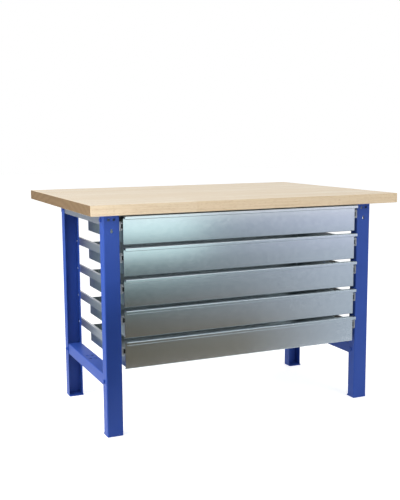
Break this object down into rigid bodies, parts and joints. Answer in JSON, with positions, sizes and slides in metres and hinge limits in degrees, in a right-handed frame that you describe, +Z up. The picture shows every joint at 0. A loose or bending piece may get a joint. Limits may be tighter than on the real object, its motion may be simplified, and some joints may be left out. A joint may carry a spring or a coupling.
{
  "type": "workbench with drawers",
  "caption": "Workbench with a beech worktop on folded-steel legs and full-width galvanised drawers, each on telescopic slides and pulled by a lip folded along its front.",
  "frame": {"origin": "floor level under the middle of the worktop", "axes": "+Z up, +X along the bench to the right as seen from the front, +Y to the back; the drawers pull out along -Y"},
  "size_m": [1.26, 0.9, 0.85],
  "materials": {
    "beech": "lacquered laminated beech",
    "blue_paint": "semi-gloss powder coat on folded steel",
    "galvanised_sheet": "galvanised sheet with fine spangle",
    "slide_steel": "zinc-plated rolled steel",
    "zinc_fasteners": "bright zinc plating",
    "retainer_brass": "rolled brass strip"
  },
  "bodies": {
    "bench": {"tabletop": "beech", "leg_front_left": "blue_paint", "leg_front_right": "blue_paint", "leg_rear_left": "blue_paint", "leg_rear_right": "blue_paint", "foot_plate_front_left": "blue_paint", "foot_plate_front_right": "blue_paint", "foot_plate_rear_left": "blue_paint", "foot_plate_rear_right": "blue_paint", "lower_stretcher_left": "blue_paint", "lower_stretcher_right": "blue_paint", "upper_stretcher_left": "galvanised_sheet", "upper_stretcher_right": "galvanised_sheet", "rear_beam": "blue_paint", "stretcher_bolts": "blue_paint", "beam_bolts": "zinc_fasteners", "frame_nuts": "zinc_fasteners", "top_screws": "zinc_fasteners", "slide_screws": "zinc_fasteners", "slide_nuts": "zinc_fasteners", "slide_1_outer_left": "slide_steel", "slide_1_outer_right": "slide_steel", "slide_2_outer_left": "slide_steel", "slide_2_outer_right": "slide_steel", "slide_3_outer_left": "slide_steel", "slide_3_outer_right": "slide_steel", "slide_4_outer_left": "slide_steel", "slide_4_outer_right": "slide_steel", "slide_5_outer_left": "slide_steel", "slide_5_outer_right": "slide_steel"},
    "drawer_1": {"drawer_1_front": "galvanised_sheet", "drawer_1_tray": "galvanised_sheet", "drawer_1_inner_members": "slide_steel", "drawer_1_rivets": "zinc_fasteners"},
    "slide_1": {"slide_1_middle_members": "slide_steel", "slide_1_ball_retainers": "retainer_brass"},
    "drawer_2": {"drawer_2_front": "galvanised_sheet", "drawer_2_tray": "galvanised_sheet", "drawer_2_inner_members": "slide_steel", "drawer_2_rivets": "zinc_fasteners"},
    "slide_2": {"slide_2_middle_members": "slide_steel", "slide_2_ball_retainers": "retainer_brass"},
    "drawer_3": {"drawer_3_front": "galvanised_sheet", "drawer_3_tray": "galvanised_sheet", "drawer_3_inner_members": "slide_steel", "drawer_3_rivets": "zinc_fasteners"},
    "slide_3": {"slide_3_middle_members": "slide_steel", "slide_3_ball_retainers": "retainer_brass"},
    "drawer_4": {"drawer_4_front": "galvanised_sheet", "drawer_4_tray": "galvanised_sheet", "drawer_4_inner_members": "slide_steel", "drawer_4_rivets": "zinc_fasteners"},
    "slide_4": {"slide_4_middle_members": "slide_steel", "slide_4_ball_retainers": "retainer_brass"},
    "drawer_5": {"drawer_5_front": "galvanised_sheet", "drawer_5_tray": "galvanised_sheet", "drawer_5_inner_members": "slide_steel", "drawer_5_rivets": "zinc_fasteners"},
    "slide_5": {"slide_5_middle_members": "slide_steel", "slide_5_ball_retainers": "retainer_brass"}
  },
  "joints": [
    {"name": "drawer_1_pull", "type": "slide", "parent": "bench", "child": "drawer_1", "axis": [0, -1, 0], "range_m": [0, 0.38]},
    {"name": "slide_1_middle", "type": "slide", "parent": "bench", "child": "slide_1", "axis": [0, -1, 0], "range_m": [0, 0.19]},
    {"name": "drawer_2_pull", "type": "slide", "parent": "bench", "child": "drawer_2", "axis": [0, -1, 0], "range_m": [0, 0.38]},
    {"name": "slide_2_middle", "type": "slide", "parent": "bench", "child": "slide_2", "axis": [0, -1, 0], "range_m": [0, 0.19]},
    {"name": "drawer_3_pull", "type": "slide", "parent": "bench", "child": "drawer_3", "axis": [0, -1, 0], "range_m": [0, 0.38]},
    {"name": "slide_3_middle", "type": "slide", "parent": "bench", "child": "slide_3", "axis": [0, -1, 0], "range_m": [0, 0.19]},
    {"name": "drawer_4_pull", "type": "slide", "parent": "bench", "child": "drawer_4", "axis": [0, -1, 0], "range_m": [0, 0.38]},
    {"name": "slide_4_middle", "type": "slide", "parent": "bench", "child": "slide_4", "axis": [0, -1, 0], "range_m": [0, 0.19]},
    {"name": "drawer_5_pull", "type": "slide", "parent": "bench", "child": "drawer_5", "axis": [0, -1, 0], "range_m": [0, 0.38]},
    {"name": "slide_5_middle", "type": "slide", "parent": "bench", "child": "slide_5", "axis": [0, -1, 0], "range_m": [0, 0.19]}
  ],
  "couplings": [
    {"joint": "slide_1_middle", "follows": "drawer_1_pull", "ratio": 0.5},
    {"joint": "slide_2_middle", "follows": "drawer_2_pull", "ratio": 0.5},
    {"joint": "slide_3_middle", "follows": "drawer_3_pull", "ratio": 0.5},
    {"joint": "slide_4_middle", "follows": "drawer_4_pull", "ratio": 0.5},
    {"joint": "slide_5_middle", "follows": "drawer_5_pull", "ratio": 0.5}
  ]
}
